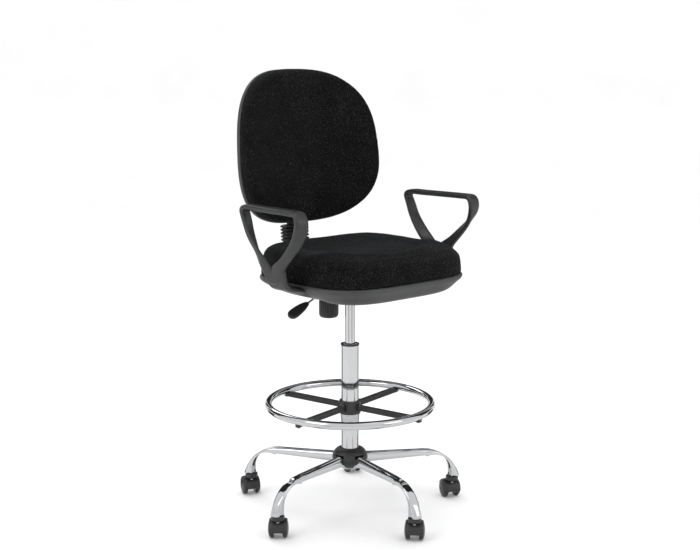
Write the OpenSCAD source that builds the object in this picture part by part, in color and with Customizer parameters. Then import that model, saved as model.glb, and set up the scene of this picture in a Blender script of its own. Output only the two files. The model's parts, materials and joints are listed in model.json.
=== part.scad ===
// Drafting chair on a five-legged chromed base, with a foot ring, a tall gas
// lift, loop arms and a high back on a sprung bar.
// Millimetres. +Z is up, the origin is where the column axis meets the floor,
// and the chair faces -Y, so the sitter's right hand is on the -X side.

/* [Base] */
// Radius of the circle that the five caster stems stand on
base_r = 309; // [300:1:318]
// Width of a pressed leg
leg_w = 26; // [24:1:28]
// Sheet thickness of a leg
leg_wall = 2; // [1.5:0.5:3]

/* [Casters] */
// Diameter of a caster wheel
wheel_d = 50; // [49:0.5:51]
// Distance that the axle trails behind the stem
caster_trail = 15; // [13:1:17]
// Diameter of the collar under a leg end
collar_d = 36; // [32:1:38]

/* [Column] */
// Outer diameter of the column tube
column_d = 50; // [50:1:50]
// Height of the top of the column tube
column_top = 478; // [470:1:482]
// Diameter of the sliding gas cylinder
cylinder_d = 28; // [28:1:28]

/* [Foot ring] */
// Radius of the ring's centre line
ring_r = 230; // [215:1:240]
// Diameter of the ring's tube
ring_tube_d = 22; // [16:1:22]
// Height of the ring's centre line
ring_z = 308; // [306:1:312]

/* [Seat] */
// Half of the seat's width
seat_a = 255; // [250:1:258]
// Half of the seat's depth
seat_b = 222; // [216:1:226]
// Distance of the seat's middle in front of the column
seat_forward = 47; // [44:1:50]
// Height of the seat's top at its highest
seat_top = 760; // [750:1:765]

/* [Back] */
// Half of the backrest's width
back_a = 244; // [235:1:250]
// Half of the backrest's height
back_b = 222.5; // [215:0.5:226]
// Radius of the backrest's wrap round the sitter
back_wrap_r = 550; // [540:5:600]
// Angle that the backrest leans back by at rest
back_lean = 4.4; // [4:0.1:5]

/* [Arms] */
// Width of an arm's bar
arm_w = 30; // [26:1:34]
// Distance of an arm's middle from the chair's middle
arm_x = 312; // [310:1:316]

/* [Hidden] */
$fn = 64;
legs = 5;
running = 0.05; // radial clearance of a running fit

// Resting places, all of them heights unless they say otherwise
leg_angles = [for (i = [0 : legs - 1]) 45 + 72 * i];
caster_yaw = [74, 67, 47, 43, 67]; // direction that each caster trails in
bend_x = 212;      // middle of a leg's bend, from the column axis
bend_z = 34;
bend_r = 122;      // outer radius of that bend
bend_top = 87.6;   // angle at which the bend meets the straight part
leg_reach = 195;   // length of the straight part
leg_end_z = 67.5;
hub_low = 121;
hub_high = 172;
hub_bore_r = 23;
wheel_in = 12;      // inner and outer face of a wheel, from the caster's middle
wheel_out = 26;
cover_z = 152;     // widest level of the hub's cover
cover_tube_r = 29; // radius of the cover's rounded section
cover_mid_r = 21;

seat_low = 640;    // underside of the seat's shell
shell_side = 672;  // where the shell's slope meets its rim
shell_rim = 682;
shell_slope = 62;  // how far in the slope reaches
shell_shift = 16;  // how far forward of the seat's middle the shell is deepest
board_low = 670;
strap_t = 7;       // thickness of an arm's strap, under the seat's board
strap_front = -98;
strap_rear = -20;
notch_x = 241;     // middle of the notch that a strap comes in through
notch_w = 42;
notch_low = 655;
notch_h = 22;
box_low = 606;     // underside of the mechanism's box
socket_low = 600;
socket_high = 622;
socket_top = 625;  // low enough for the lever's inner end to tip over it
lever_z = 630;
lever_pivot_x = -33;
paddle_roll = 40;  // the paddle's face is turned this far forward
pivot_y = 62;      // hinge of the back bar
pivot_z = 616;
knob_y = 89;
knob_low = 541;
knob_high = 592;
knob_r = 28;
bar_w = 50;
bar_t = 8;
back_y = 216.5;    // middle of the backrest's thickness
back_z = 1020.5;   // middle of the backrest's height
bar_local_y = 39;  // the bar's place behind the middle of the back
cushion_t = 48;
back_board_t = 6;
back_t = 62;       // cushion, board and shell together
back_front_r = back_wrap_r - back_t / 2;
back_board_r = back_front_r + cushion_t;
back_rear_r = back_wrap_r + back_t / 2;

// Bolt places under the seat: the mechanism's four and three for each arm
mech_bolts = [for (x = [-58, 58], y = [-76, 108]) [x, y]];
arm_bolts = [for (s = [-1, 1], p = [[135, -82], [135, -34], [178, -58]]) [s * p[0], p[1]]];
spoke_angles = [for (i = [0 : 3]) 11 + 90 * i];

// ---- Outlines ----

function unit(v) = v / norm(v);

// Points of an arc round c, from angle a0 to a1
function arc(c, r, a0, a1, n = 12) =
    [for (i = [0 : n]) c + r * [cos(a0 + (a1 - a0) * i / n), sin(a0 + (a1 - a0) * i / n)]];

// A closed outline whose corners [x, y, radius] are rounded
function rounded(p, n = 8) = [
    for (i = [0 : len(p) - 1])
        let (
            here = [p[i][0], p[i][1]],
            before = [p[(i + len(p) - 1) % len(p)][0], p[(i + len(p) - 1) % len(p)][1]],
            after = [p[(i + 1) % len(p)][0], p[(i + 1) % len(p)][1]],
            a = unit(before - here),
            b = unit(after - here),
            half = acos(a * b) / 2,
            middle = here + unit(a + b) * p[i][2] / sin(half),
            from = here + a * p[i][2] / tan(half) - middle,
            to = here + b * p[i][2] / tan(half) - middle,
            a0 = atan2(from[1], from[0]),
            turn = atan2(from[0] * to[1] - from[1] * to[0], from * to)
        )
        each arc(middle, p[i][2], a0, a0 + turn, n)];

// A superellipse with half axes a and b; egg widens it towards -y
function oval(a, b, power, egg = 0, n = 72) = [
    for (i = [0 : n - 1])
        let (
            c = cos(360 * i / n),
            s = sin(360 * i / n),
            x = sign(c) * pow(abs(c), 2 / power),
            y = sign(s) * pow(abs(s), 2 / power)
        )
        [a * x * (1 - egg * y), b * y]];

module seat_outline(inset) {
    translate([0, -seat_forward])
        polygon(oval(seat_a - inset, seat_b - inset, 3.9));
}

module back_outline(inset) {
    polygon(oval(back_a - inset, back_b - inset, 2.73, 0.069));
}

module rounded_bar(w, d, r) {
    polygon(rounded([[-w / 2, -d / 2, r], [w / 2, -d / 2, r], [w / 2, d / 2, r], [-w / 2, d / 2, r]]));
}

module ring(r_out, r_in, low, high) {
    translate([0, 0, low])
        difference() {
            cylinder(r = r_out, h = high - low);
            translate([0, 0, -1]) cylinder(r = r_in, h = high - low + 2);
        }
}

// ---- Base ----

// A leg's top line seen from the side: round the bend and straight in to the hub
function leg_line(r) = concat(
    arc([bend_x, bend_z], r, asin((leg_end_z - bend_z) / r), bend_top, 20),
    [[bend_x, bend_z] + r * [cos(bend_top), sin(bend_top)]
     + leg_reach * [-sin(bend_top), cos(bend_top)]]);

function backwards(points) = [for (i = [len(points) - 1 : -1 : 0]) points[i]];

// A pressed channel, open below; its side walls are deepest at the hub
module leg() {
    rotate([90, 0, 0]) {
        translate([0, 0, -leg_w / 2]) linear_extrude(leg_w)
            polygon(concat(leg_line(bend_r), backwards(leg_line(bend_r - leg_wall))));
        for (z = [-leg_w / 2, leg_w / 2 - leg_wall])
            translate([0, 0, z]) linear_extrude(leg_wall)
                polygon(concat(leg_line(bend_r), [[bend_x - leg_reach, 137]],
                               arc([248, 85], 53, 90, 0, 14), [[301, leg_end_z]]));
    }
}

module base_star() {
    color("silver")
    difference() {
        union() {
            translate([0, 0, hub_low]) cylinder(r = 27, h = hub_high - hub_low);
            for (a = leg_angles) rotate([0, 0, a]) leg();
        }
        translate([0, 0, hub_low - 1]) cylinder(r = hub_bore_r, h = 80);
    }
}

// Tubes on cross webs inside the leg ends, which hold the caster stems
module stem_sleeves() {
    web = leg_w - 2 * leg_wall + 0.4;
    color("gainsboro")
    for (a = leg_angles) rotate([0, 0, a]) translate([base_r, 0, leg_end_z])
        difference() {
            union() {
                cylinder(r = 8.5, h = 22);
                translate([-2, -web / 2, 2]) cube([4, web, 18]);
            }
            translate([0, 0, -1]) cylinder(r = 5.5 + running, h = 21);
        }
}

// A bulb over the hub, slotted from below so that it drops over the legs
module hub_cover() {
    color("dimgray")
    difference() {
        rotate_extrude($fn = 128) difference() {
            translate([cover_mid_r, cover_z]) circle(r = cover_tube_r, $fn = 96);
            translate([cover_mid_r, cover_z]) circle(r = cover_tube_r - 2, $fn = 96);
            translate([-60, 0]) square([60 + column_d / 2 + 0.3, 300]);
            translate([0, 90]) square([60, 32.5]);
            translate([0, 90]) square([27.4, 60]);
        }
        for (a = leg_angles) rotate([0, 0, a]) {
            translate([24, -leg_w / 2 - 0.5, 100]) cube([40, leg_w + 1, 64.5]);
        }
    }
}

// ---- Column and gas lift ----

module column_tube() {
    color("silver")
    difference() {
        union() {
            translate([0, 0, hub_high + 2])
                cylinder(r = column_d / 2, h = column_top - hub_high - 2, $fn = 96);
            translate([0, 0, hub_low - 1]) cylinder(r = hub_bore_r, h = 60, $fn = 96);
        }
        translate([0, 0, 132]) cylinder(r = 21, h = 50, $fn = 96);
        translate([0, 0, 181]) cylinder(r = column_d / 2 - 2, h = 320, $fn = 96);
        translate([0, 0, 110]) cylinder(r = 6, h = 40);
        translate([0, 0, 110]) cylinder(r = 16, h = 18);
    }
}

// Black ring over the tube's top edge
module column_cap() {
    color("#202224")
    difference() {
        translate([0, 0, column_top - 2.5]) cylinder(r = column_d / 2 + 1.2, h = 4.5, $fn = 96);
        translate([0, 0, column_top - 5]) cylinder(r = column_d / 2, h = 5, $fn = 96);
        translate([0, 0, column_top - 1]) cylinder(r = column_d / 2 - 3.5, h = 5, $fn = 96);
    }
}

// Sleeve that the gas cylinder slides in
module guide_bush() {
    color("lightgray")
    ring(column_d / 2 - 2, cylinder_d / 2 + running, column_top - 80, column_top, $fn = 96);
}

module thrust_bearing() {
    color("gray")
    ring(15, 5.5, 132, 141);
}

module retaining_clip() {
    color("gray")
    ring(9, 3.9, 124, 126.2);
}

// Rod with its carrying shoulder and the piston at its top
module piston_rod() {
    color("gainsboro")
    difference() {
        union() {
            translate([0, 0, 122]) cylinder(r = 5, h = 318);
            translate([0, 0, 141]) cylinder(r = 13, h = 3);
            translate([0, 0, 432]) cylinder(r = 11.2, h = 14);
        }
        ring(7, 3.9, 124, 126.2);
    }
}

module gas_cylinder() {
    color("silver")
    difference() {
        union() {
            translate([0, 0, 255]) cylinder(r = cylinder_d / 2, h = socket_low - 255, $fn = 96);
            socket_taper();
        }
        translate([0, 0, 254]) cylinder(r = 5 + running, h = 20);
        translate([0, 0, 267]) cylinder(r = 11.5, h = 283);
        translate([0, 0, 586]) cylinder(r = 3 + running, h = 40);
        // turned groove round the cylinder
        ring(16, cylinder_d / 2 - 0.35, 540.5, 542);
    }
}

module release_pin() {
    color("darkgray")
    translate([0, 0, 592]) cylinder(r = 3, h = lever_z - 3.3 - 592, $fn = 48);
}

// ---- Foot ring ----

module foot_ring() {
    color("silver")
    difference() {
        rotate_extrude($fn = 180)
            translate([ring_r, ring_z]) difference() {
                circle(r = ring_tube_d / 2, $fn = 48);
                circle(r = ring_tube_d / 2 - 1.5, $fn = 48);
            }
        for (a = spoke_angles) rotate([0, 0, a])
            translate([ring_r, 0, ring_z - 15]) cylinder(r = 2.5, h = 10);
    }
}

module foot_ring_hub() {
    color("#26282a")
    difference() {
        union() {
            translate([0, 0, 280]) cylinder(r = 30, h = 37, $fn = 96);
            for (a = spoke_angles) rotate([0, 0, a])
                translate([24, -10, 289]) cube([14, 20, 3]);
        }
        translate([0, 0, 279]) cylinder(r = column_d / 2 + running, h = 40, $fn = 96);
        for (a = spoke_angles) rotate([0, 0, a])
            translate([34, 0, 280]) cylinder(r = 1.5, h = 14);
    }
}

// Ribbed bars, each bolted on a ledge of the hub and under the ring
module ring_spokes() {
    color("#303234")
    for (a = spoke_angles) rotate([0, 0, a])
        difference() {
            union() {
                translate([30.2, -7, 292]) cube([ring_r - 44 - 0.2, 14, 14]);
                translate([ring_r - 16, -6, 292]) cube([24, 12, 10]);
            }
            for (s = [-1, 1], z = [295.5, 299, 302.5])
                translate([30, s * 7, z]) rotate([0, 90, 0]) cylinder(r = 0.7, h = ring_r);
            rotate_extrude($fn = 180)
                translate([ring_r, ring_z]) circle(r = ring_tube_d / 2, $fn = 48);
            translate([ring_r, 0, 285]) cylinder(r = 2.5, h = 20);
            translate([34, 0, 285]) cylinder(r = 1.5, h = 30);
        }
}

// Four screws up into the ring and four down into the hub's ledges
module ring_screws() {
    color("gainsboro")
    for (a = spoke_angles) rotate([0, 0, a]) {
        translate([ring_r, 0, 289]) cylinder(r = 4.5, h = 3, $fn = 32);
        translate([ring_r, 0, 289]) cylinder(r = 2.5, h = 14, $fn = 32);
        translate([34, 0, 306]) cylinder(r = 3, h = 2, $fn = 32);
        translate([34, 0, 289]) cylinder(r = 1.5, h = 18, $fn = 32);
    }
}

// Tapered friction collar that grips the column, with a row of dimples
module ring_collar() {
    color("lightgray")
    difference() {
        translate([0, 0, 255]) cylinder(r1 = column_d / 2 + 1, r2 = column_d / 2 + 2.6, h = 25, $fn = 96);
        translate([0, 0, 254]) cylinder(r = column_d / 2 + running, h = 27, $fn = 96);
        for (a = [0 : 22.5 : 359]) rotate([0, 0, a])
            translate([column_d / 2 + 1.4, 0, 269]) rotate([0, 90, 0]) cylinder(r = 1.6, h = 4, $fn = 24);
    }
}

// ---- Casters ----
// Each is made with its stem on Z and its axle trailing towards +X.

module caster_place(i) {
    rotate([0, 0, leg_angles[i - 1]]) translate([base_r, 0, 0])
        rotate([0, 0, caster_yaw[i - 1] - leg_angles[i - 1]]) children();
}

module on_axle() {
    translate([caster_trail, 0, wheel_d / 2]) rotate([-90, 0, 0]) children();
}

module caster_stem(i) {
    color("gainsboro")
    caster_place(i) {
        translate([0, 0, 46]) cylinder(r = 5.5, h = 40, $fn = 48);
    }
}

// Hood over both treads, with a web between the wheels and a collar on top
module caster_hood(i) {
    color("#232528")
    caster_place(i) difference() {
        union() {
            on_axle() translate([0, 0, -23]) cylinder(r = wheel_d / 2 + 3, h = 46, $fn = 96);
            translate([0, 0, 44]) cylinder(r = collar_d / 4, h = 16);
            translate([0, 0, 55]) cylinder(r = collar_d / 2, h = 11.5);
        }
        for (s = [0, 1]) mirror([0, s, 0]) on_axle()
            translate([0, 0, wheel_in - 1]) cylinder(r = wheel_d / 2 + 1, h = 30, $fn = 96);
        // open below and behind
        translate([0, 40, 0]) rotate([90, 0, 0]) linear_extrude(80)
            polygon([[-20, -5], [-20, 20], [caster_trail - 23, 20], [caster_trail - 8, 13],
                     [caster_trail + 8, 18], [caster_trail + 40, 46], [caster_trail + 40, -5]]);
        on_axle() translate([0, 0, -30]) cylinder(r = 3, h = 60, $fn = 48);
        translate([0, 0, 46]) cylinder(r = 5.5, h = 30, $fn = 48);
    }
}

module caster_axle(i) {
    color("silver")
    caster_place(i) on_axle() translate([0, 0, -22]) cylinder(r = 3, h = 44, $fn = 48);
}

// side is 1 for the left wheel and -1 for the right one, seen from behind
module caster_wheel(i, side) {
    color("#1b1c1e")
    caster_place(i) mirror([0, side > 0 ? 0 : 1, 0]) on_axle()
        rotate_extrude($fn = 96) difference() {
            polygon(concat(
                [[3 + running, wheel_in], [wheel_d / 2 - 1.5, wheel_in], [wheel_d / 2, wheel_in + 1.5],
                 [wheel_d / 2, wheel_out - 5]],
                arc([wheel_d / 2 - 4, wheel_out - 5], 4, 0, 70, 5),
                [[8, wheel_out], [3 + running, wheel_out]]));
            translate([0, 22.3]) square([6, 10]);
        }
}

// ---- Seat mechanism ----

module seat_mechanism() {
    color("#2b2d30")
    difference() {
        union() {
            translate([-70, -90, 637]) cube([140, 212, 3]);
            for (s = [-1, 1])
                translate([s * 43.5 - 1.5, -55, box_low]) cube([3, 140, 638 - box_low]);
            translate([-45, -55, box_low]) cube([90, 3, 638 - box_low]);
            translate([-45, -55, box_low]) cube([90, 96, 3]);
            translate([0, 0, socket_low]) cylinder(r = 20, h = socket_top - socket_low);
            for (s = [-1, 1])
                translate([lever_pivot_x - 6, s * 9.5 - 1.5, lever_z - 7]) cube([12, 3, 15]);
        }
        socket_taper();
        translate([0, 0, socket_high - 1]) cylinder(r = cylinder_d / 2 - 0.5, h = 10, $fn = 96);
        translate([-50, -6, lever_z - 8]) cube([10, 12, 15]);
        translate([lever_pivot_x, 20, lever_z]) rotate([90, 0, 0])
            cylinder(r = 2.5 + running, h = 40, $fn = 48);
        translate([-60, pivot_y, pivot_z]) rotate([0, 90, 0]) cylinder(r = 5, h = 120, $fn = 48);
        translate([0, knob_y, 630]) cylinder(r = 4, h = 20, $fn = 48);
        for (p = mech_bolts) translate([p[0], p[1], 630]) cylinder(r = 3, h = 20, $fn = 32);
    }
}

// Taper that the gas cylinder's top wedges into
module socket_taper() {
    translate([0, 0, socket_low])
        cylinder(r1 = cylinder_d / 2, r2 = cylinder_d / 2 - 0.5, h = socket_high - socket_low, $fn = 96);
}

// Bent rod with its cross pin; the inner end lies over the release pin
module height_lever() {
    color("darkgray") {
        translate([6, 0, lever_z]) rotate([0, -90, 0]) cylinder(r = 3, h = 124, $fn = 32);
        translate([-118, 0, lever_z]) sphere(r = 3, $fn = 32);
        translate([-118, 0, lever_z]) rotate([0, -114, 0]) cylinder(r = 3, h = 56, $fn = 32);
        translate([lever_pivot_x, 12, lever_z]) rotate([90, 0, 0]) cylinder(r = 2.5, h = 24, $fn = 48);
    }
}

module lever_paddle() {
    color("#202124")
    translate([-118, 0, lever_z]) rotate([0, -24, 0]) rotate([0, 0, 180]) rotate([-paddle_roll, 0, 0])
        difference() {
            translate([0, 0, -5.5]) linear_extrude(11)
                polygon(rounded([[40, -7, 3], [60, -13, 12], [104, -15, 9], [113, 0, 16],
                                 [104, 15, 9], [60, 13, 12], [40, 7, 3]]));
            translate([36, 0, 0]) rotate([0, 90, 0]) cylinder(r = 3, h = 20, $fn = 32);
        }
}

module tension_knob() {
    color("#1d1e20")
    translate([0, knob_y, 0]) difference() {
        rotate_extrude($fn = 96)
            polygon(concat(
                [[4 + running, knob_high], [4 + running, knob_low + 8], [0, knob_low + 8], [0, knob_low]],
                arc([knob_r - 8, knob_low + 8], 8, -90, 0, 6),
                arc([knob_r - 3, knob_high - 3], 3, 0, 90, 4)));
        for (a = [0 : 15 : 359]) rotate([0, 0, a])
            translate([knob_r + 0.8, 0, knob_low + 9]) cylinder(r = 2, h = 50, $fn = 16);
    }
}

// Hangs from the mechanism's plate; the knob turns on it
module tension_bolt() {
    color("darkgray")
    translate([0, knob_y, 0]) {
        translate([0, 0, knob_low + 12]) cylinder(r = 4, h = 640 - knob_low - 12, $fn = 48);
        translate([0, 0, 633]) cylinder(r = 7, h = 4, $fn = 6);
    }
}

// Points of the coil spring's wire between the knob and the back bar
spring_turns = 3.5;
spring_sides = 8;
spring_steps = 84;
spring_low = knob_high + 1.9;
spring_high = pivot_z - bar_t / 2 - 1.9;
function spring_ring(i) =
    let (turn = 360 * spring_turns * i / spring_steps,
         z = spring_low + (spring_high - spring_low) * i / spring_steps)
    [for (k = [0 : spring_sides - 1])
        let (r = 10.5 + 1.5 * cos(360 * k / spring_sides))
        [r * cos(turn), r * sin(turn), z + 1.5 * sin(360 * k / spring_sides)]];

module tension_spring() {
    color("dimgray")
    translate([0, knob_y, 0])
        polyhedron(
            points = [for (i = [0 : spring_steps]) each spring_ring(i)],
            faces = concat(
                [[for (k = [0 : spring_sides - 1]) k]],
                [for (i = [0 : spring_steps - 1], k = [0 : spring_sides - 1])
                    let (n = (k + 1) % spring_sides, a = i * spring_sides, b = a + spring_sides)
                    each [[a + k, b + k, b + n], [a + k, b + n, a + n]]],
                [[for (k = [spring_sides - 1 : -1 : 0]) spring_steps * spring_sides + k]]));
}

module back_pivot_pin() {
    color("darkgray")
    translate([-48, pivot_y, pivot_z]) rotate([0, 90, 0]) cylinder(r = 5, h = 96, $fn = 48);
}

// ---- Back ----

module back_frame() {
    translate([0, back_y, back_z]) rotate([-back_lean, 0, 0]) children();
}

// Flat steel bar: back from the hinge, round a bend and up behind the back
bar_bend_r = 34;
bar_bend_z = pivot_z + bar_bend_r;
bar_bend_y = back_y + (bar_local_y - bar_bend_r - sin(back_lean) * (back_z - bar_bend_z)) / cos(back_lean);
bar_rise = 318;
module back_bar() {
    up = [sin(back_lean), cos(back_lean)];
    inner = bar_bend_r - bar_t / 2;
    outer = bar_bend_r + bar_t / 2;
    middle = [bar_bend_y, bar_bend_z];
    along = arc(middle, outer, -90, -back_lean);
    back = arc(middle, inner, -back_lean, -90);
    color("#1f2022")
    difference() {
        translate([-bar_w / 2, 0, 0]) rotate([90, 0, 90]) linear_extrude(bar_w) {
            polygon(concat(
                [[pivot_y, pivot_z - bar_t / 2]], along, [along[12] + bar_rise * up],
                [back[0] + bar_rise * up], back, [[pivot_y, pivot_z + bar_t / 2]]));
            translate([pivot_y, pivot_z]) circle(r = 8, $fn = 64);
        }
        translate([-60, pivot_y, pivot_z]) rotate([0, 90, 0]) cylinder(r = 5 + running, h = 120, $fn = 48);
        translate([0, knob_y, 600]) cylinder(r = 6.5, h = 40);
    }
}

// Folded rubber sleeve round the bar, between seat and back
bellows_low = -330;
bellows_high = -223.5;
bellows_folds = 11;
module bellows() {
    pitch = (bellows_high - bellows_low) / bellows_folds;
    color("#18191a")
    back_frame() translate([0, bar_local_y, bellows_low]) difference() {
        union() {
            linear_extrude(pitch * bellows_folds) rounded_bar(74, 34, 10);
            for (i = [0 : bellows_folds - 1])
                translate([0, 0, (i + 0.2) * pitch]) linear_extrude(pitch * 0.6) rounded_bar(88, 48, 17);
        }
        translate([0, 0, -1]) linear_extrude(pitch * bellows_folds + 2) rounded_bar(66, 24, 6);
    }
}

// Slider that holds the back's board to the bar
module back_bracket() {
    color("#2a2b2d")
    back_frame() difference() {
        translate([-31, 15, -180]) cube([62, bar_local_y + 9 - 15, 80]);
        translate([-bar_w / 2 - running, bar_local_y - bar_t / 2 - running, -190])
            cube([bar_w + 2 * running, bar_t + 2 * running, 100]);
        translate([0, -back_wrap_r, -200]) cylinder(r = back_board_r + back_board_t, h = 120, $fn = 256);
    }
}

// A wrapped sheet with the backrest's outline, between two radii
module back_layer(r_in, r_out, inset) {
    intersection() {
        translate([0, 200, 0]) rotate([90, 0, 0]) linear_extrude(400) back_outline(inset);
        translate([0, -back_wrap_r, -300]) difference() {
            cylinder(r = r_out, h = 600, $fn = 256);
            translate([0, 0, -1]) cylinder(r = r_in, h = 602, $fn = 256);
        }
    }
}

module back_board() {
    color("burlywood")
    back_frame() back_layer(back_board_r, back_board_r + back_board_t, 11);
}

// Rear cover: a rim round the board and a channel that hides the bar
module back_shell() {
    channel_y = 8;
    color("#54575b")
    back_frame() difference() {
        union() {
            back_layer(back_board_r, back_rear_r, 7);
            translate([-42, channel_y, -214]) cube([84, 47, 200]);
        }
        back_layer(back_board_r - 1, back_rear_r - 3.5, 10.5);
        translate([-39, channel_y - 2, -230]) cube([78, 46, 213]);
        translate([0, -back_wrap_r, -300]) cylinder(r = back_board_r + back_board_t, h = 600, $fn = 256);
    }
}

module back_cushion() {
    color("#17181a")
    back_frame() back_layer(back_front_r, back_board_r, 2.5);
}

// ---- Seat ----

module bolt_holes(r) {
    for (p = concat(mech_bolts, arm_bolts))
        translate([p[0], p[1], seat_low - 20]) cylinder(r = r, h = 100, $fn = 32);
}

module seat_board() {
    color("burlywood")
    difference() {
        translate([0, 0, board_low]) linear_extrude(shell_rim - board_low) seat_outline(24);
        bolt_holes(3);
    }
}

// The pan's outside, or its inside when inset by the wall
module shell_bowl(inset, low) {
    hull() {
        translate([0, -shell_shift, low]) linear_extrude(0.1) seat_outline(shell_slope + 6 + inset);
        translate([0, 0, shell_side]) linear_extrude(shell_rim - shell_side) seat_outline(6 + inset);
    }
}

// Moulded pan under the seat, with a boss at each bolt and a notch for each arm
module seat_shell() {
    color("#66696d")
    difference() {
        union() {
            difference() {
                shell_bowl(0, seat_low);
                translate([0, 0, 0.01]) shell_bowl(3.5, seat_low + 3.5);
            }
            for (p = mech_bolts)
                translate([p[0], p[1], seat_low + 2]) cylinder(r = 8, h = board_low - seat_low - 2, $fn = 32);
            for (p = arm_bolts)
                translate([p[0], p[1], seat_low + 2])
                    cylinder(r = 8, h = board_low - strap_t - seat_low - 2.2, $fn = 32);
        }
        bolt_holes(3.2);
        // notches that the arms' straps come in through
        for (s = [-1, 1])
            translate([s * notch_x - notch_w / 2, strap_front - 0.5, notch_low])
                cube([notch_w, strap_rear - strap_front + 1, notch_h]);
    }
}

module seat_cushion() {
    color("#141517")
    hull() {
        translate([0, 0, shell_rim + 0.2]) linear_extrude(1) seat_outline(4);
        translate([0, 0, shell_rim + 20]) linear_extrude(20) seat_outline(0);
        translate([0, 0, seat_top - 8]) linear_extrude(0.1) seat_outline(12);
        translate([0, 0, seat_top - 0.1]) linear_extrude(0.1) seat_outline(40);
    }
}

module seat_bolts() {
    color("darkgray") {
        for (p = mech_bolts) translate([p[0], p[1], 633]) {
            cylinder(r = 5.5, h = 4, $fn = 32);
            cylinder(r = 3, h = 47, $fn = 32);
        }
        for (p = arm_bolts) translate([p[0], p[1], seat_low - 4]) {
            cylinder(r = 5.5, h = 4, $fn = 32);
            cylinder(r = 3, h = 44, $fn = 32);
        }
    }
}

// ---- Arms ----

// Closed loop seen from the side: y runs back and z up
module arm_loop_outline() {
    difference() {
        polygon(rounded([[88, 889, 18], [66, 812, 60], [3, 738, 70], [-14, 696, 30],
                         [-74, 696, 30], [-96, 737, 80], [-168, 832, 60], [-178, 889, 22]]));
        polygon(rounded([[73, 875, 14], [58, 816, 50], [2, 752, 40], [-32, 731, 14],
                         [-72, 752, 50], [-152, 838, 60], [-162, 875, 16]]));
    }
}

// Strap from the loop down, inwards and along the seat's board: x runs outwards
module arm_strap_outline() {
    polygon(rounded([[118, board_low - strap_t, 1], [236, board_low - strap_t, 30], [266, 668, 30],
                     [302, 668, 22], [324, 698, 40], [arm_x + 14, 741, 2], [arm_x - 12, 741, 2],
                     [301, 706, 20], [290, 689, 14], [262, 679, 20], [238, board_low, 12],
                     [118, board_low, 1]]));
}

// The arm on the +X side
module arm() {
    difference() {
        union() {
            translate([arm_x, -45, 0]) rotate([0, 0, 3.3]) translate([-arm_w / 2, 45, 0])
                rotate([90, 0, 90]) linear_extrude(arm_w) arm_loop_outline();
            difference() {
                translate([0, strap_rear, 0]) rotate([90, 0, 0])
                    linear_extrude(strap_rear - strap_front) arm_strap_outline();
                translate([arm_x - 40, -45, 740]) cube([80, 120, 40], center = true);
            }
        }
        for (p = arm_bolts) translate([p[0], p[1], board_low - 20]) cylinder(r = 3, h = 40, $fn = 32);
    }
}

module arm_right() {
    color("#484b4f") mirror([1, 0, 0]) arm();
}

module arm_left() {
    color("#484b4f") arm();
}

base_star();
stem_sleeves();
hub_cover();
column_tube();
column_cap();
guide_bush();
thrust_bearing();
retaining_clip();
piston_rod();
gas_cylinder();
release_pin();
foot_ring();
foot_ring_hub();
ring_spokes();
ring_screws();
ring_collar();
seat_mechanism();
height_lever();
lever_paddle();
tension_knob();
tension_bolt();
tension_spring();
back_pivot_pin();
back_bar();
bellows();
back_bracket();
back_board();
back_shell();
back_cushion();
seat_board();
seat_shell();
seat_cushion();
seat_bolts();
arm_left();
arm_right();
for (i = [1 : legs]) {
    caster_stem(i);
    caster_hood(i);
    caster_axle(i);
    caster_wheel(i, 1);
    caster_wheel(i, -1);
}
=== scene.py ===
"""The looks of the drafting chair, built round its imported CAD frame.

Metres, in the frame's own axes: Z up, the column axis at the origin, the
chair faces -Y. Hard parts keep their CAD mesh and get a material; soft and
moulded parts are made here and stand for their plain CAD solids.
"""

import json
import math

import bmesh
import bpy
from mathutils import Matrix, Vector


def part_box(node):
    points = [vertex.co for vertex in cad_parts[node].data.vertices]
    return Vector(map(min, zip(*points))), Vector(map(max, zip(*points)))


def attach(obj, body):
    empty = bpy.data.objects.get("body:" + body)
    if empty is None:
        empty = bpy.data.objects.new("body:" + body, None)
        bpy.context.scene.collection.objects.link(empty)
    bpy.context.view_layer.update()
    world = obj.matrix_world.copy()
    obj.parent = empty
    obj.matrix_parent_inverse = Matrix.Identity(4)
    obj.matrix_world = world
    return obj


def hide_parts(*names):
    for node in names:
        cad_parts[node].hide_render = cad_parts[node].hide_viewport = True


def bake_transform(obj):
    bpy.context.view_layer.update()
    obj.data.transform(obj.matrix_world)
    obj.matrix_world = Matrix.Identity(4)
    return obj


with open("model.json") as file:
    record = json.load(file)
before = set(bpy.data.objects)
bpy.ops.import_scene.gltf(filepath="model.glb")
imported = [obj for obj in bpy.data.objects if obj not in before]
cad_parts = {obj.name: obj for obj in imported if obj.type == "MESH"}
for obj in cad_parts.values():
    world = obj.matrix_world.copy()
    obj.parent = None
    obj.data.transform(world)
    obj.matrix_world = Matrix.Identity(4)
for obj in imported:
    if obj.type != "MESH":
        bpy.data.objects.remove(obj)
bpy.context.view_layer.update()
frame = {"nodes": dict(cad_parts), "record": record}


def lerp(a, b, t):
    return a + (b - a) * t


def smoothstep(low, high, v):
    t = min(1.0, max(0.0, (v - low) / (high - low)))
    return t * t * (3 - 2 * t)


# ---------------------------------------------------------------- materials

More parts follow.
